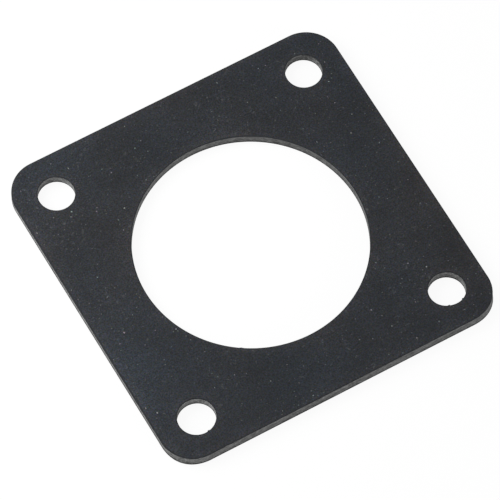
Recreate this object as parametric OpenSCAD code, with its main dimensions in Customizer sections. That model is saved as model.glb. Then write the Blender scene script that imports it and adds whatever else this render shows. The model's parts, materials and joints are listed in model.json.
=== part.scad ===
// Flat gasket for a flanged heating element, die-cut in one piece from rubber sheet.
// A square with rounded corners, one large bore in the middle and a bolt hole in each corner.
// Millimetres, +Z up. The origin is on the lower face, at the centre of the bore.

/* [Sheet] */
// Side of the square outline
side = 78; // [62:1:120]
// Radius of the four outer corners
corner_r = 7.5; // [2:0.5:14]
// Thickness of the rubber sheet
thickness = 2.4; // [0.8:0.1:6]

/* [Bore] */
// Diameter of the bore that the heating element passes through
bore_d = 50; // [20:1:58]

/* [Bolt holes] */
// Distance from each side to the centres of its bolt holes
bolt_inset = 9; // [7:0.5:14]
// Diameter of each bolt hole
bolt_hole_d = 8; // [4:0.5:11]

/* [Hidden] */
$fn = 128;
// Charcoal black of the rubber
rubber_colour = [0.21, 0.22, 0.23];
// How far a punch runs past each face of the sheet
punch_overrun = 1;
// Distance from the bore's axis to the bolt hole centres, along each side
bolt_offset = side / 2 - bolt_inset;

// Places its child at each of the four corners of a square, the given distance out along both sides.
module at_corners(offset_xy) {
    for (sx = [-1, 1], sy = [-1, 1])
        translate([sx * offset_xy, sy * offset_xy]) children();
}

// The outline of the die: two crossed rectangles that reach the four sides, and a disc in each corner.
module rounded_square(size, radius) {
    square([size, size - 2 * radius], center = true);
    square([size - 2 * radius, size], center = true);
    at_corners(size / 2 - radius) circle(r = radius);
}

// A round punch that goes right through the sheet.
module punch(diameter) {
    translate([0, 0, -punch_overrun])
        cylinder(d = diameter, h = thickness + 2 * punch_overrun);
}

// The gasket: the blanked sheet, less the bore and the bolt holes. Die-cut edges stay square and sharp.
module gasket() {
    color(rubber_colour)
        difference() {
            linear_extrude(thickness) rounded_square(side, corner_r);
            punch(bore_d);
            at_corners(bolt_offset) punch(bolt_hole_d);
        }
}

gasket();
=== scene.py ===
"""A heating element gasket: one square of black rubber sheet, die-cut with a bore and four bolt holes."""
import json
import math

import bpy
import numpy as np
from mathutils import Matrix, Vector


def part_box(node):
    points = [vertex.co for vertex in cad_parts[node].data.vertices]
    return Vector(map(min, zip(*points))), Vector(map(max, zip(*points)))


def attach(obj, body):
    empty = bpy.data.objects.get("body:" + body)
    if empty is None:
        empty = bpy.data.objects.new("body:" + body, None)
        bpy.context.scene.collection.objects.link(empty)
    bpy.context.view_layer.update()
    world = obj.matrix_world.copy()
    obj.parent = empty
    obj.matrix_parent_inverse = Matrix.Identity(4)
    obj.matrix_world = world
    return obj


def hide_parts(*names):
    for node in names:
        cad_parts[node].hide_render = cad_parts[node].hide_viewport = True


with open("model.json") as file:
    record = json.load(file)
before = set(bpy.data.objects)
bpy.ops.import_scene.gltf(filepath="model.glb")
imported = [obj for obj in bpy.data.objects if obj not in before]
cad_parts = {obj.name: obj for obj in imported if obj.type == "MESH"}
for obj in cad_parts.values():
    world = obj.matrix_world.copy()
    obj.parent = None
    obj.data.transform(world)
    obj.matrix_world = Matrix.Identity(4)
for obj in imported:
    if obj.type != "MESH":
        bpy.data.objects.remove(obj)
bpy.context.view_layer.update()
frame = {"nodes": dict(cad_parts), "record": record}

# The knife lines: the rounded square outline, the round bore and the four bolt holes of the gasket.
# The real piece is blanked from rubber sheet by a steel rule die, which cuts all six lines in one stroke.
MM = 0.001
sheet_low, sheet_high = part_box("gasket")
mounts = {mount["name"]: mount["dims"] for mount in frame["record"]["mounts"]}
thickness = sheet_high.z - sheet_low.z
half_side = sheet_high.x
bore_radius = mounts["bore"]["r_mm"] * MM
hole_radius = mounts["bolt_holes"]["hole_r_mm"] * MM
hole_offset = mounts["bolt_holes"]["spacing_x_mm"] / 2 * MM
weld = 1e-4 * MM
solid_points = np.array([vertex.co for vertex in frame["nodes"]["gasket"].data.vertices])
on_right_side = solid_points[:, 0] > half_side - weld
corner_radius = half_side - solid_points[on_right_side, 1].max()
knife_step = 0.35 * MM
quarter_turns = np.array([[[1, 0], [0, 1]], [[0, -1], [1, 0]], [[-1, 0], [0, -1]], [[0, 1], [-1, 0]]])


def shares(length, step):
    """Even shares from 0 up to, but without, 1, in as many parts as spaces of about one step take."""
    count = math.ceil(length / step)
    return np.arange(count) / count


def turned(points):
    """One quarter's points or directions, turned about the bore's axis into all four quarters: (4n, 2)."""
    return np.einsum("qij,nj->qni", quarter_turns, points).reshape(-1, 2)


def directions(angle):
    """Unit vectors at these angles from +X."""
    return np.stack([np.cos(angle), np.sin(angle)], axis=-1)


def outline_quarter():
    """A quarter of the outline from the middle of the +X side, with the directions out of the rubber. It
    runs half a side along Y, a quarter turn about the corner's centre, and half a side back along X."""
    straight = half_side - corner_radius
    run = shares(straight, knife_step)[:, None]
    angle = shares(corner_radius * math.pi / 2, knife_step) * math.pi / 2
    side_out = np.array([[1.0, 0.0]]) + 0 * run
    first_half = np.concatenate([half_side + 0 * run, straight * run], axis=1)
    second_half = np.concatenate([straight * (1 - run), half_side + 0 * run], axis=1)
    corner = straight + corner_radius * directions(angle)
    points = np.concatenate([first_half, corner, second_half])
    return points, np.concatenate([side_out, directions(angle), side_out[:, ::-1]])


def bore_quarter():
    """A quarter of the bore's circle from +X to +Y, with the directions out of the rubber, to the axis."""
    angle = shares(bore_radius * math.pi / 2, knife_step) * math.pi / 2
    return bore_radius * directions(angle), -directions(angle)


# The cut section: what the knife leaves between the upper and the lower face, carried round each line.
# A pressed lip, an edge where the knife dragged the skin down with it, the cut wall, a sharper edge and
# a lip below.
lip_width = 0.14 * MM
upper_roll = 0.12 * MM
lower_roll = 0.07 * MM
wall_hollow = 0.03 * MM
roll_steps = 4
wall_steps = 6


def cut_section(drag):
    """The section at each point of a line, as depths into the rubber and heights, from the upper face down:
    (section, n). The upper edge is a quarter ellipse, as wide as upper_roll and as high as the skin was
    dragged down there, and the lower one a quarter circle. The wall is a parabola, hollow by wall_hollow,
    as the sheet is squeezed in the cut."""
    turn = np.linspace(0, math.pi / 2, roll_steps + 1)[:, None]
    share = np.linspace(0, 1, wall_steps + 1)[1:-1, None]
    level = np.zeros((1, len(drag)))
    upper_lip = upper_roll + lip_width + level
    upper_depth = upper_roll * (1 - np.sin(turn)) + level
    upper_height = thickness - drag * (1 - np.cos(turn))
    wall_depth = 4 * wall_hollow * share * (1 - share) + level
    wall_height = lower_roll + (thickness - drag - lower_roll) * (1 - share)
    lower_depth = lower_roll * (1 - np.cos(turn)) + level
    lower_height = lower_roll * (1 - np.sin(turn)) + level
    lower_lip = lower_roll + lip_width + level
    depth = np.concatenate([upper_lip, upper_depth, wall_depth, lower_depth, lower_lip])
    height = np.concatenate([thickness + level, upper_height, wall_height, lower_height, level])
    return depth, height


# The flaws of the cut: the skin is dragged down further on the -X side, most towards its rear end, the
# front wall leans in, and the front corners bulge at their foot. The right rear of each bolt hole is torn,
# and is cut a little too deep or not deep enough.
clean_drag = 0.12 * MM
side_drag = 0.62 * MM
side_drag_excess = 0.4
front_lean = 0.20 * MM
corner_bulge = 0.20 * MM

# Which way a flawed cut faces, in degrees from +X, and how far the flaw spreads to both sides
side_drag_angle = 173.0
side_drag_spread = 24.0
front_angle = 280.0
front_spread = 30.0
hole_rear_angle = 205.0
hole_rear_spread = 65.0

# By quarter: how much too deep the rear of the hole is cut at the upper and the lower face, below 0 for
# not deep enough, and how much paler than a clean cut it is, from the tearing and from painted light
hole_cuts = MM * np.array([(-0.03, -0.05), (-0.14, 0.0), (0.24, 0.34), (0.07, 0.0)])
hole_tears_and_light = [0.3, 1.1, 1.6, 0.9]

# Crumbs of rubber that the knife left standing at the upper rims, and nicks that it tore out of them: an
# angle in degrees about the middle of the line, how far the rubber stands out, below 0 for a nick, and
# a width
outline_flaws = [(-125.4, -0.16 * MM, 0.6 * MM), (-131.2, -0.14 * MM, 0.5 * MM)]
bore_flaws = [(-124.0, 0.14 * MM, 0.5 * MM)]
front_left_flaws = [(-80.0, 0.22 * MM, 0.4 * MM)]
front_right_flaws = [
    (-114.0, 0.2 * MM, 0.35 * MM),
    (-63.0, 0.2 * MM, 0.35 * MM),
    (-104.0, 0.3 * MM, 6.5 * MM),
]
hole_flaws = [[], [], front_left_flaws, front_right_flaws]
flaw_depth = 0.6 * MM


def turns_from(arrows, degrees):
    """By what angle each of these vectors is turned from the direction at this angle, from -pi up to pi."""
    angle = np.arctan2(arrows[:, 1], arrows[:, 0])
    return (angle - math.radians(degrees) + math.pi) % math.tau - math.pi


def facing(outward, degrees, spread):
    """1 where a line faces this angle, that falls off to both sides as exp(-(turn / spread)²)."""
    return np.exp(-((turns_from(outward, degrees) / math.radians(spread)) ** 2))


def standing(points, middle, flaws):
    """How far the rubber stands out at the upper face along one knife line: the sum of a bell for each
    flaw, exp(-(distance / half width)²) times how far the flaw stands out."""
    sight = points - middle
    reach = np.zeros(len(points))
    for degrees, stands_out, width in flaws:
        distance = turns_from(sight, degrees) * np.linalg.norm(sight, axis=1)
        reach += stands_out * np.exp(-((distance / (width / 2)) ** 2))
    return reach


def cut_wall(points, outward, drag, upper_cut, lower_cut, stands_out):
    """The cut section carried round one closed knife line: each point goes its depth against the outward
    direction and takes its height. The cut is deeper by upper_cut at the upper face and by lower_cut at the
    lower one, and in proportion to the height between them. Rubber that stands out takes from the depth,
    and fades below the upper face as exp(-drop / flaw_depth). Gives (section, n, 3)."""
    depth, height = cut_section(drag)
    share = height / thickness
    fade = np.exp((height - thickness) / flaw_depth)
    depth = depth + upper_cut * share + lower_cut * (1 - share) - stands_out * fade
    return np.concatenate([points - depth[..., None] * outward, height[..., None]], axis=-1)


def outline_wall():
    """The cut round the outline. The skin is dragged down on the -X side, and further in proportion to Y
    behind its middle. The front wall leans, and the foot bulges at the front corners by the square of twice
    the outward direction's x times its y, which is 0 along the sides."""
    points, outward = map(turned, outline_quarter())
    excess = 1 + side_drag_excess * np.maximum(points[:, 1], 0) / half_side
    drag = clean_drag + side_drag * excess * facing(outward, side_drag_angle, side_drag_spread)
    lean = front_lean * facing(outward, front_angle, front_spread)
    bulge = corner_bulge * (2 * outward[:, 0] * np.minimum(outward[:, 1], 0)) ** 2
    return cut_wall(points, outward, drag, lean, -bulge, standing(points, np.zeros(2), outline_flaws))


def bore_wall():
    """The cut round the bore, clean but for its flaws."""
    points, outward = map(turned, bore_quarter())
    drag = np.full(len(points), clean_drag)
    return cut_wall(points, outward, drag, 0.0, 0.0, standing(points, np.zeros(2), bore_flaws))


# The gasket itself: one closed skin of two faces and six cut walls, in one piece of rubber.
# A quarter of a face is a ring round its bolt hole, from the lip of the hole to the edge of the quarter.
seam_step = 1.0 * MM
face_rows = 8

# The order of its materials
skin_index = 0
cut_index = 1
edge_index = 2


def quarter_edges(outline_lip, bore_lip):
    """The edge of each quarter of a face as a closed ring about its bolt hole: out along the seam to the
    next quarter, round the outline, in along the other seam and back round the bore. Gives (4, n, 3)."""
    outline_lip = outline_lip.reshape(4, -1, 3)
    bore_lip = bore_lip.reshape(4, -1, 3)
    inner = bore_lip[:, :1]
    outer = outline_lip[:, :1]
    share = shares(half_side - bore_radius, seam_step)[1:, None]
    seam = inner + share * (outer - inner)
    back = [np.roll(part, -1, axis=0) for part in (outer, seam[:, ::-1], inner)]
    return np.concatenate([inner, seam, outline_lip, *back, bore_lip[:, :0:-1]], axis=1)


def hole_wall(quarter, edge):
    """The cut round one bolt hole, with a column in line with each point of its quarter's edge, and how
    torn each column is: 1 where it faces hole_rear_angle, and less away from there."""
    middle = quarter_turns[quarter] @ [hole_offset, hole_offset]
    sight = edge[:, :2] - middle
    outward = -sight / np.linalg.norm(sight, axis=1, keepdims=True)
    points = middle - hole_radius * outward
    drag = np.full(len(points), clean_drag)
    torn = facing(outward, hole_rear_angle, hole_rear_spread)
    upper_cut, lower_cut = hole_cuts[quarter][:, None] * torn
    stands_out = standing(points, middle, hole_flaws[quarter])
    return cut_wall(points, outward, drag, upper_cut, lower_cut, stands_out), torn


def face_ring(hole_lip, edge):
    """A quarter of a face: straight lines from the hole's lip to the quarter's edge, in even steps."""
    share = np.linspace(0, 1, face_rows + 1)[:, None, None]
    return hole_lip + share * (edge - hole_lip)


def ring_faces(rows, columns):
    """Four-cornered faces between the rows of a grid whose columns close in a ring, as indices into it."""
    index = np.arange(rows * columns).reshape(rows, columns)
    after = np.roll(index, -1, axis=1)
    return np.stack([index[:-1], index[1:], after[1:], after[:-1]], axis=-1)


def gasket_grids():
    """All surfaces as (grid of points, whether it is a cut edge, how torn each column is, how much paler
    the tearing and painted light make it there). The rows of a cut edge go down the section, and the
    lines that the rubber surrounds are turned round, so that every face points out of the rubber."""
    outline = outline_wall()
    bore = bore_wall()
    upper_edge = quarter_edges(outline[0], bore[0])
    lower_edge = quarter_edges(outline[-1], bore[-1])
    holes = [hole_wall(quarter, upper_edge[quarter]) for quarter in range(4)]
    upper = [face_ring(wall[0], edge) for (wall, _), edge in zip(holes, upper_edge)]
    lower = [face_ring(wall[-1], edge)[::-1] for (wall, _), edge in zip(holes, lower_edge)]
    clean = [(outline, True, 0.0, 0.0), (bore[:, ::-1], True, 0.0, 0.0)]
    punched = [(wall[:, ::-1], True, torn[::-1], tear_and_light) for (wall, torn), tear_and_light in zip(holes, hole_tears_and_light)]
    return clean + punched + [(grid, False, 0.0, 0.0) for grid in upper + lower]


def gasket_mesh(name):
    """Joins the grids into one closed mesh, with points that fall together welded into one. The faces have
    the skin's material, the wall of a cut the cut's, and its lips and rolled edges the pressed edge's. The
    attribute torn gives how torn each face is, and the other attribute how much paler the tearing and
    painted light make it."""
    pressed = [edge_index] * (roll_steps + 1)
    cut_kinds = np.array(pressed + [cut_index] * wall_steps + pressed)
    points, faces, kinds = [], [], []
    smooth, torn_shares, tears_and_light = [], [], []
    first = 0
    for grid, is_cut, torn, tear_and_light in gasket_grids():
        rows, columns = grid.shape[:2]
        quads = ring_faces(rows, columns)
        points.append(grid.reshape(-1, 3))
        faces.append(first + quads.reshape(-1, 4))
        kinds.append(np.repeat(cut_kinds if is_cut else np.full(rows - 1, skin_index), columns))
        smooth.append(np.full(quads.shape[0] * columns, is_cut))
        torn_shares.append(np.tile(torn + np.zeros(columns), rows - 1))
        tears_and_light.append(tear_and_light * torn_shares[-1])
        first += rows * columns
    points = np.concatenate(points)
    faces = np.concatenate(faces)
    keys = np.round(points / weld).astype(np.int64)
    _, kept, welded = np.unique(keys, axis=0, return_index=True, return_inverse=True)
    mesh = bpy.data.meshes.new(name)
    mesh.from_pydata(points[kept], [], welded.reshape(-1)[faces])
    mesh.polygons.foreach_set("material_index", np.concatenate(kinds).astype(np.int32))
    mesh.polygons.foreach_set("use_smooth", np.concatenate(smooth))
    mesh.attributes.new("torn", "FLOAT", "FACE").data.foreach_set("value", np.concatenate(torn_shares))
    mesh.attributes.new("tear_and_light", "FLOAT", "FACE").data.foreach_set("value", np.concatenate(tears_and_light))
    mesh.update()
    return mesh


gasket = bpy.data.objects.new("gasket_sheet", gasket_mesh("gasket_sheet"))
bpy.context.scene.collection.objects.link(gasket)
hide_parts("gasket")
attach(gasket, "root")


# The skin of the sheet: charcoal rubber rolled between calender rolls, so it has a fine even grain and
# faint streaks along the roll's run. It is paler along the cuts, from wear and a painted sheen, and along
# the -X side, the lamp's side, from rub and a painted sheen, and has dust, stray grains, scuffs and
# lint on it.
skin_colour = (0.0178, 0.0202, 0.0246)
skin_gloss = 0.2
skin_roughness = (0.45, 0.70)
skin_relief_strength = 0.3
skin_relief_height = 0.02 * MM

# The sizes of its blotches, and how far they vary its tone or tint
grain_size = 0.31 * MM
grain_depth = 3.15
tint_size = 0.30 * MM
tint_depth = (2.6, 0.5, 2.6)
streak_size = (40 * MM, 0.9 * MM, 0.9 * MM)
streak_depth = 0.25
streak_relief = 0.5
cloud_size = 14 * MM
cloud_depth = 1.5
cloud_detail = 6.0
cloud_roughness = 0.7
cloud_shift = (136 * MM, 244 * MM, 0.0)
warmth_size = 26 * MM
warmth_tint = (0.42, 0.0, -0.28)

# Wear and a painted sheen along the cuts, and rub and a painted sheen along the -X side, the lamp's side:
# how wide it is, and by what share it is paler
wear_sheen_width = 1.3 * MM
wear_sheen_gain = 0.50
wear_sheen_tint = (1.30, 1.00, 0.80)
rub_light_width = 6.0 * MM
rub_light_gain = 0.35
rub_light_excess = 0.55
patch_size = 7.0 * MM
patch_depth = 0.3

# The waves that make marks uneven or bent
ragged_size = 0.35 * MM
ragged_reach = 0.45 * MM
bend_size = 3.0 * MM
bend_reach = 2.4 * MM

# Marks lie one to a cell of space, each with a radius and how far it hides the rubber
fleck_core = 0.5
dust_colour = (0.30, 0.31, 0.31)
dust_cell = 0.95 * MM
dust_radius = 0.155 * MM
dust_cover = 0.122
dust_spread = -0.60
dust_tint = (0.3, 0.3, 0.3)
stray_cell = 7.0 * MM
stray_radius = 0.13 * MM
stray_cover = 0.75
cluster_size = 8.0 * MM
cluster_from = 0.45
cluster_to = 0.60
scuff_cell = 1.2 * MM
scuff_radius = 0.22 * MM
scuff_stretch = 2.8
scuff_angles = (-65.0, -15.0, 40.0)
scuff_cover = 0.16
lint_cell = 1.3 * MM
lint_radius = 0.05 * MM
lint_stretch = 9.0
lint_angles = (25.0, -50.0)
lint_cover = 0.6


def wire(tree, kind, inputs=None, **settings):
    """Adds a shader node. An input that is another node's output is linked, and a plain value is set."""
    made = tree.nodes.new("ShaderNode" + kind)
    for name, value in settings.items():
        setattr(made, name, value)
    for socket, value in (inputs or {}).items():
        if isinstance(value, bpy.types.NodeSocket):
            tree.links.new(value, made.inputs[socket])
        else:
            made.inputs[socket].default_value = value
    return made


def maths(tree, operation, *values):
    """The result of one sum on outputs and numbers."""
    return wire(tree, "Math", dict(enumerate(values)), operation=operation).outputs[0]


def vectors(tree, operation, *values):
    """The result of one sum on vectors or colours, channel by channel."""
    return wire(tree, "VectorMath", dict(enumerate(values)), operation=operation).outputs[0]


def distance_to(tree, place, middle):
    """How far each place lies from one point."""
    return wire(tree, "VectorMath", {0: place, 1: middle}, operation="DISTANCE").outputs["Value"]


def ramped(tree, value, start, end, low=0.0, high=1.0, **settings):
    """Runs from low to high as a value runs from start to end, and keeps level beyond both. It runs evenly
    unless the settings say otherwise."""
    inputs = dict(enumerate((value, start, end, low, high)))
    return wire(tree, "MapRange", inputs, **settings).outputs[0]


def noise(tree, place, size, detail=2.0, roughness=0.5):
    """Soft random values about 0.5, with blotches of about this size, or this size along each axis: one
    value, and a colour with a value of its own in each channel. Each step of detail adds blotches of half
    the size, roughness times as strong."""
    sizes = size if isinstance(size, tuple) else (size, size, size)
    spot = vectors(tree, "DIVIDE", place, sizes)
    inputs = {"Vector": spot, "Scale": 1.0, "Detail": detail, "Roughness": roughness}
    return wire(tree, "TexNoise", inputs).outputs


def varied(tree, value, depth):
    """Turns values about 0.5 into factors about 1 that vary by the given depth, and are never below 0."""
    swing = maths(tree, "SUBTRACT", value, 0.5)
    return maths(tree, "MAXIMUM", maths(tree, "MULTIPLY_ADD", swing, depth, 1.0), 0.0)


def tinted(tree, colours, depth):
    """Turns colours about 0.5 into colours about 1, each of whose channels varies by its own depth."""
    return vectors(tree, "MULTIPLY_ADD", colours, depth, tuple(1 - share / 2 for share in depth))


def from_cuts(tree, place):
    """How far a point lies from the nearest cut, seen from above. The four quarters are alike, so it is
    measured in the first: the least of the ways to the sides, the bore's circle and the hole's."""
    flat = vectors(tree, "ABSOLUTE", vectors(tree, "MULTIPLY", place, (1.0, 1.0, 0.0)))
    across = wire(tree, "SeparateXYZ", {0: flat}).outputs
    to_side = maths(tree, "SUBTRACT", half_side, maths(tree, "MAXIMUM", across["X"], across["Y"]))
    from_axis = distance_to(tree, flat, (0.0, 0.0, 0.0))
    from_middle = distance_to(tree, flat, (hole_offset, hole_offset, 0.0))
    to_bore = maths(tree, "SUBTRACT", from_axis, bore_radius)
    to_hole = maths(tree, "SUBTRACT", from_middle, hole_radius)
    return maths(tree, "MINIMUM", maths(tree, "MINIMUM", to_side, to_bore), to_hole)


def fading(tree, distance, width):
    """1 at no distance, that falls off as exp(-distance / width)."""
    return maths(tree, "EXPONENT", maths(tree, "DIVIDE", distance, -width))


def rubbed_and_lit(tree, place, front_excess):
    """How much rub and painted light a point has: about 1 at the -X side, the lamp's side, fading away from
    it, and by this share more at the front end of that side than at its middle, and as much less at its
    rear end."""
    axes = wire(tree, "SeparateXYZ", {0: place}).outputs
    along = maths(tree, "MULTIPLY_ADD", axes["Y"], -front_excess / half_side, 1.0)
    near = fading(tree, maths(tree, "ADD", axes["X"], half_side), rub_light_width)
    return maths(tree, "MULTIPLY", near, along)


def pushed(tree, place, size, reach):
    """Places pushed about in soft random waves of this size, by a share of the reach, so that round marks
    come out uneven and straight ones bent."""
    push = vectors(tree, "SUBTRACT", noise(tree, place, size)["Color"], (0.5, 0.5, 0.5))
    return vectors(tree, "MULTIPLY_ADD", push, (reach, reach, reach), place)


def flecks(tree, place, cell, radius):
    """Round grains scattered in space, one to a cell, where they cross the surface: how much of each point
    is covered, a random number for the nearest grain, and a random colour for it. A grain covers all within
    the share fleck_core of its radius, and less from there out."""
    scale = 1 / cell
    found = wire(tree, "TexVoronoi", {"Vector": place, "Scale": scale})
    cover = ramped(tree, found.outputs["Distance"], radius * scale, radius * scale * fleck_core)
    chance = wire(tree, "TexWhiteNoise", {"Vector": found.outputs["Position"]}).outputs["Value"]
    return cover, chance, found.outputs["Color"]


def strokes(tree, place, angle, stretch, cell, radius):
    """Flecks drawn out along the direction at this angle in degrees, to stretch times their width."""
    turn = {"Vector": place, "Angle": math.radians(angle)}
    turned_place = wire(tree, "VectorRotate", turn, rotation_type="Z_AXIS").outputs[0]
    return flecks(tree, vectors(tree, "DIVIDE", turned_place, (stretch, 1.0, 1.0)), cell, radius)


def laid_over(tree, below, above, cover):
    """One colour laid over another, as far as it covers it."""
    return wire(tree, "Mix", {0: cover, 6: below, 7: above}, data_type="RGBA").outputs[2]


def emptied(owner):
    """The node tree of a new material or world, without the nodes that it starts with."""
    owner.use_nodes = True
    owner.node_tree.nodes.clear()
    return owner.node_tree


def rubber_material(name):
    """A material with its output and a principled shader joined up, and nothing set yet."""
    material = bpy.data.materials.new(name)
    tree = emptied(material)
    shader = wire(tree, "BsdfPrincipled")
    wire(tree, "OutputMaterial", {"Surface": shader.outputs[0]})
    return material, tree, shader


def give_finish(tree, shader, colour, gloss, roughness, texture):
    """Gives the shader its colour and gloss, and a roughness that runs from the first to the second of its
    two values as the texture runs from 0 to 1."""
    smooth, rough = roughness
    tree.links.new(colour, shader.inputs["Base Color"])
    tree.links.new(maths(tree, "MULTIPLY_ADD", texture, rough - smooth, smooth), shader.inputs["Roughness"])
    shader.inputs["Specular IOR Level"].default_value = gloss


def emboss(tree, shader, strength, height, relief):
    """Tilts the shader's normal as if a relief of 1 stood up by this height, to the share strength."""
    bump = wire(tree, "Bump", {"Strength": strength, "Distance": height, "Height": relief})
    tree.links.new(bump.outputs[0], shader.inputs["Normal"])


def skin_rubber(tree, place, grain, streaks):
    """The colour of the bare skin: the charcoal times tints, grain, streaks, clouds, and wear with a
    painted sheen. That factor is 1, plus what fades away from the cuts, which has a tint, and from the -X
    side, the lamp's side, both in patches."""
    cloud_place = vectors(tree, "ADD", place, cloud_shift)
    clouds = noise(tree, cloud_place, cloud_size, cloud_detail, cloud_roughness)["Fac"]
    tone = maths(tree, "MULTIPLY", varied(tree, grain, grain_depth), varied(tree, streaks, streak_depth))
    tone = maths(tree, "MULTIPLY", tone, varied(tree, clouds, cloud_depth))
    tints = tinted(tree, noise(tree, place, tint_size)["Color"], tint_depth)
    warmth = maths(tree, "SUBTRACT", noise(tree, place, warmth_size)["Fac"], 0.5)
    warm_tint = vectors(tree, "MULTIPLY_ADD", warmth, warmth_tint, (1.0, 1.0, 1.0))
    tints = vectors(tree, "MULTIPLY", tints, warm_tint)
    rubber = vectors(tree, "MULTIPLY", vectors(tree, "MULTIPLY", tints, skin_colour), tone)

    # Paler along the cuts and the -X side, from wear and rub with a painted sheen
    patches = varied(tree, noise(tree, place, patch_size)["Fac"], patch_depth)
    worn_and_sheen = maths(tree, "MULTIPLY", fading(tree, from_cuts(tree, place), wear_sheen_width), wear_sheen_gain)
    worn_and_sheen = vectors(tree, "MULTIPLY", maths(tree, "MULTIPLY", worn_and_sheen, patches), wear_sheen_tint)
    rub_and_light = maths(tree, "MULTIPLY", rubbed_and_lit(tree, place, rub_light_excess), rub_light_gain)
    paler = maths(tree, "MULTIPLY_ADD", rub_and_light, patches, 1.0)
    return vectors(tree, "MULTIPLY", rubber, vectors(tree, "ADD", worn_and_sheen, paler))


def with_marks(tree, place, colour):
    """A colour with dust, strays, scuffs and lint laid over it in turn. A dust grain covers by its random
    number to the power dust_spread, so that a few stand out. Strays are grains of any colour, and scuffs
    come in clusters."""
    uneven = pushed(tree, place, ragged_size, ragged_reach)
    bent = pushed(tree, uneven, bend_size, bend_reach)
    clusters = ramped(tree, noise(tree, place, cluster_size)["Fac"], cluster_from, cluster_to)
    mark_colour = (*dust_colour, 1.0)

    cover, chance, hue = flecks(tree, uneven, dust_cell, dust_radius)
    strength = maths(tree, "MULTIPLY", maths(tree, "POWER", chance, dust_spread), dust_cover)
    dust = vectors(tree, "MULTIPLY", tinted(tree, hue, dust_tint), dust_colour)
    colour = laid_over(tree, colour, dust, maths(tree, "MULTIPLY", cover, strength))
    cover, _, hue = flecks(tree, place, stray_cell, stray_radius)
    stray = vectors(tree, "MULTIPLY", hue, dust_colour)
    colour = laid_over(tree, colour, stray, maths(tree, "MULTIPLY", cover, stray_cover))
    for angle in scuff_angles:
        cover, chance, _ = strokes(tree, bent, angle, scuff_stretch, scuff_cell, scuff_radius)
        strength = maths(tree, "MULTIPLY", maths(tree, "MULTIPLY", chance, scuff_cover), clusters)
        colour = laid_over(tree, colour, mark_colour, maths(tree, "MULTIPLY", cover, strength))
    for angle in lint_angles:
        cover, _, _ = strokes(tree, bent, angle, lint_stretch, lint_cell, lint_radius)
        colour = laid_over(tree, colour, mark_colour, maths(tree, "MULTIPLY", cover, lint_cover))
    return colour


def skin_material():
    """The bare skin with its marks. The grain makes it rougher, and grain and streaks give it a relief."""
    material, tree, shader = rubber_material("calendered_skin")
    place = wire(tree, "TexCoord").outputs["Object"]
    grain = noise(tree, place, grain_size)["Fac"]
    streaks = noise(tree, place, streak_size)["Fac"]
    colour = with_marks(tree, place, skin_rubber(tree, place, grain, streaks))
    give_finish(tree, shader, colour, skin_gloss, skin_roughness, grain)
    relief = maths(tree, "ADD", grain, maths(tree, "MULTIPLY", streaks, streak_relief))
    emboss(tree, shader, skin_relief_strength, skin_relief_height, relief)
    return material


# The cut: the knife opens the rubber below its skin, which is paler, dull and mottled, with pale filler
# grains. A painted shade darkens it towards the lower face, with a painted contact shadow along the
# foot, taller on the -X side, and the -X side has painted light. Where the punches tore the bolt holes it
# is rougher, with painted light that makes it paler, most lower down.
cut_colour = (0.148, 0.149, 0.148)
cut_gloss = 0.15
cut_roughness = (0.75, 0.95)
cut_relief_strength = 0.5
cut_relief_height = 0.06 * MM
mottle_size = (1.6 * MM, 1.6 * MM, 0.7 * MM)
mottle_depth = 1.8
pit_size = 0.45 * MM
pit_depth = 1.5
torn_pit_depth = 2.6
# Painted light on torn walls: how steeply it goes from darker above a share of the thickness to paler below
torn_light_slope = 1.8
torn_light_level = 0.55
# Painted light on the walls of the -X side, the lamp's side
cut_rub_light_gain = 0.80
cut_rub_light_excess = -0.3
filler_colour = (0.42, 0.42, 0.42, 1.0)
filler_cell = 0.8 * MM
filler_radius = 0.12 * MM
filler_spread = 2.0
# How far the painted contact shadow at the foot is drawn out upwards on the -X side, and how fast that
# fades
side_foot = 0.3
side_foot_width = 1.0 * MM

# Heights above the lower face in millimetres, each with the painted shade there: darker lower down, with
# a painted contact shadow along the foot
painted_height_shades = [(0.0, 0.03), (0.30, 0.06), (0.46, 0.78), (1.0, 0.90), (1.9, 1.0), (2.4, 1.0)]


def painted_shade_by_height(tree, place):
    """A painted shade factor that follows the heights and shades listed above, from the lower face to the
    upper, darker towards the lower face. On the -X side it is drawn out upwards by the share side_foot,
    which fades away from that side. The ramp starts with a stop at each end, and the others are put in
    between them."""
    axes = wire(tree, "SeparateXYZ", {0: place}).outputs
    at_side = fading(tree, maths(tree, "ADD", axes["X"], half_side), side_foot_width)
    drawn_out = maths(tree, "MULTIPLY_ADD", at_side, side_foot * thickness, thickness)
    ramp = wire(tree, "ValToRGB", {0: maths(tree, "DIVIDE", axes["Z"], drawn_out)})
    stops = ramp.color_ramp.elements
    for level, _ in painted_height_shades[1:-1]:
        stops.new(level * MM / thickness)
    for stop, (_, shade) in zip(stops, painted_height_shades):
        stop.color = (shade, shade, shade, 1.0)
    return ramp.outputs[0]


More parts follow.
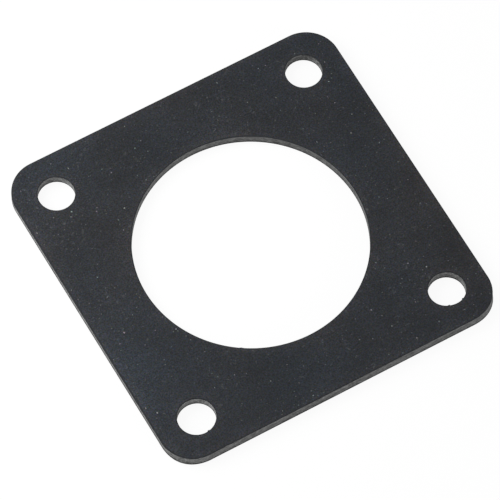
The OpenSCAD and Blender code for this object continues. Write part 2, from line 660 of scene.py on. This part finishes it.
def cut_material():
    """The colour is the grey times mottle and pits, with filler grains over it, times a painted shade by
    height. It has painted light on the -X side, the lamp's side, and is paler where it is torn, from the
    tearing and painted light. Torn walls also have deeper pits, and painted light that goes from darker
    above a share of the thickness to paler below it."""
    material, tree, shader = rubber_material("knife_cut")
    place = wire(tree, "TexCoord").outputs["Object"]
    mottle = noise(tree, place, mottle_size)["Fac"]
    pits = noise(tree, place, pit_size)["Fac"]
    tear_and_light = wire(tree, "Attribute", attribute_name="tear_and_light").outputs["Fac"]
    torn = wire(tree, "Attribute", attribute_name="torn").outputs["Fac"]
    depth = maths(tree, "MULTIPLY_ADD", torn, torn_pit_depth - pit_depth, pit_depth)
    tone = maths(tree, "MULTIPLY", varied(tree, mottle, mottle_depth), varied(tree, pits, depth))

    # Painted light: paler on the -X side, where torn, and lower down where torn
    rub_and_light = maths(tree, "MULTIPLY", rubbed_and_lit(tree, place, cut_rub_light_excess), cut_rub_light_gain)
    height = maths(tree, "DIVIDE", wire(tree, "SeparateXYZ", {0: place}).outputs["Z"], thickness)
    slope = maths(tree, "MULTIPLY", maths(tree, "SUBTRACT", torn_light_level, height), torn_light_slope)
    sloped = maths(tree, "MULTIPLY_ADD", torn, slope, 1.0)
    paler = maths(tree, "ADD", maths(tree, "ADD", rub_and_light, tear_and_light), sloped)
    rubber = vectors(tree, "MULTIPLY", cut_colour, maths(tree, "MULTIPLY", tone, paler))

    cover, chance, _ = flecks(tree, place, filler_cell, filler_radius)
    strength = maths(tree, "POWER", chance, filler_spread)
    rubber = laid_over(tree, rubber, filler_colour, maths(tree, "MULTIPLY", cover, strength))
    # Painted shade by height, with a painted contact shadow at the foot
    colour = vectors(tree, "MULTIPLY", rubber, painted_shade_by_height(tree, place))
    give_finish(tree, shader, colour, cut_gloss, cut_roughness, mottle)
    relief = maths(tree, "ADD", mottle, pits)
    emboss(tree, shader, cut_relief_strength, cut_relief_height, relief)
    return material


# The pressed edge: the skin that the knife squeezed and rolled over along each cut, left smooth and dull.
# It is the same rubber, so it has no joint with the skin or the cut.
edge_colour = (0.0335, 0.0355, 0.0390)
edge_gloss = 0.05
edge_roughness = (0.7, 0.9)
edge_size = 0.8 * MM
edge_depth = 1.2


def edge_material():
    """The colour is a charcoal times soft patches along the edge."""
    material, tree, shader = rubber_material("pressed_edge")
    place = wire(tree, "TexCoord").outputs["Object"]
    patches = noise(tree, place, edge_size)["Fac"]
    colour = vectors(tree, "MULTIPLY", edge_colour, varied(tree, patches, edge_depth))
    give_finish(tree, shader, colour, edge_gloss, edge_roughness, patches)
    return material


for material in (skin_material(), cut_material(), edge_material()):
    gasket.data.materials.append(material)


# The floor: a wide matt white table that the gasket lies flat on. To the camera and in reflections it
# shows as plain white, from a glow that brings its lit colour up to 1, and it still takes the gasket's
# soft shadow.
plain_white = (1.0, 1.0, 1.0, 1.0)
floor_reach = 6.0
floor_gap = 0.02 * MM
floor_white = (0.8, 0.8, 0.8, 1.0)
shadow_share = 0.10
near_glow = 0.92
far_glow = 0.97
near_reach = 0.10
far_reach = 0.50


def seen_directly(tree):
    """1 for the rays that show a surface: straight from the camera, or by a reflection or through glass."""
    rays = wire(tree, "LightPath").outputs
    shown = maths(tree, "MAXIMUM", rays["Is Camera Ray"], rays["Is Glossy Ray"])
    return maths(tree, "MAXIMUM", shown, rays["Is Transmission Ray"])


def floor_material():
    """Light that bounces meets plain white. Rays that show the floor meet a weaker white plus a glow, which
    rises from near_reach to far_reach out from the gasket, where less of the lamps' light falls."""
    table = bpy.data.materials.new("white_table")
    tree = emptied(table)
    matt = wire(tree, "BsdfDiffuse", {"Color": floor_white}).outputs[0]
    weaker_white = (shadow_share, shadow_share, shadow_share, 1.0)
    weaker = wire(tree, "BsdfDiffuse", {"Color": weaker_white}).outputs[0]
    from_gasket = distance_to(tree, wire(tree, "TexCoord").outputs["Object"], (0.0, 0.0, 0.0))
    rise = {"low": near_glow, "high": far_glow, "interpolation_type": "SMOOTHSTEP"}
    strength = ramped(tree, from_gasket, near_reach, far_reach, **rise)
    glow = wire(tree, "Emission", {"Color": plain_white, "Strength": strength}).outputs[0]
    seen = wire(tree, "AddShader", {0: weaker, 1: glow}).outputs[0]
    surface = wire(tree, "MixShader", {0: seen_directly(tree), 1: matt, 2: seen}).outputs[0]
    wire(tree, "OutputMaterial", {"Surface": surface})
    return table


floor_mesh = bpy.data.meshes.new("floor")
floor_corners = floor_reach * np.array([[-1, -1, 0], [1, -1, 0], [1, 1, 0], [-1, 1, 0]])
floor_mesh.from_pydata(floor_corners - [0, 0, floor_gap], [], [(0, 1, 2, 3)])
floor_mesh.materials.append(floor_material())
floor = bpy.data.objects.new("floor", floor_mesh)
bpy.context.scene.collection.objects.link(floor)


# The light: an even white surround, a soft lamp close by on the left of the picture and a little behind,
# and a low one in front on the right for the walls. Together they light the upper face at about 1, so that
# a colour renders as written.
surround_level = 0.40
key_azimuth = -131.0
key_elevation = 38.0
key_distance = 0.26
key_size = 0.2
key_level = 0.82
fill_azimuth = 30.0
fill_elevation = 12.0
fill_distance = 1.0
fill_size = 0.25
fill_level = 0.30


def towards(azimuth, elevation):
    """The unit vector from the gasket towards this azimuth, where 0 is in front at -Y, and elevation."""
    round_by = math.radians(azimuth)
    up_by = math.radians(elevation)
    flat = math.cos(up_by)
    return Vector((math.sin(round_by) * flat, -math.cos(round_by) * flat, math.sin(up_by)))


def soft_lamp(name, azimuth, elevation, distance, size, level):
    """A square lamp aimed at the gasket. level is how bright it alone shows a white card that faces it,
    which takes a power of level times pi squared times the distance squared."""
    lamp = bpy.data.lights.new(name, "AREA")
    lamp.size = size
    lamp.energy = level * math.pi ** 2 * distance ** 2
    back = towards(azimuth, elevation)
    lamp_object = bpy.data.objects.new(name, lamp)
    lamp_object.location = back * distance
    lamp_object.rotation_euler = (-back).to_track_quat("-Z", "Y").to_euler()
    lamp_object.visible_camera = False
    bpy.context.scene.collection.objects.link(lamp_object)


def white_surround():
    """A world that lights the gasket at surround_level, and shows as plain white where it is seen."""
    world = bpy.data.worlds.new("surround")
    tree = emptied(world)
    level = maths(tree, "MULTIPLY_ADD", seen_directly(tree), 1 - surround_level, surround_level)
    background = wire(tree, "Background", {"Color": plain_white, "Strength": level})
    wire(tree, "OutputWorld", {"Surface": background.outputs[0]})
    return world


soft_lamp("key", key_azimuth, key_elevation, key_distance, key_size, key_level)
soft_lamp("fill", fill_azimuth, fill_elevation, fill_distance, fill_size, fill_level)
bpy.context.scene.world = white_surround()
bpy.context.scene.view_settings.view_transform = "Standard"


# The camera: a long lens well back, which looks down on the gasket across its front left corner.
# It is aimed a little off the bore's axis and rolled by half a degree, which sets the picture's frame.
camera_azimuth = -30.02
camera_elevation = 62.54
camera_roll = 0.46
camera_distance = 1.1529
camera_lens = 396.6
camera_sensor = 36.0
camera_aim = Vector((-1.19 * MM, -1.72 * MM, thickness))

camera = bpy.data.objects.new("camera", bpy.data.cameras.new("camera"))
camera.data.lens = camera_lens
camera.data.sensor_width = camera_sensor
camera_back = towards(camera_azimuth, camera_elevation)
camera_turn = (-camera_back).to_track_quat("-Z", "Y").to_matrix()
camera_turn = camera_turn @ Matrix.Rotation(math.radians(camera_roll), 3, "Z")
camera.matrix_world = Matrix.Translation(camera_aim + camera_back * camera_distance) @ camera_turn.to_4x4()
bpy.context.scene.collection.objects.link(camera)
bpy.context.scene.camera = camera
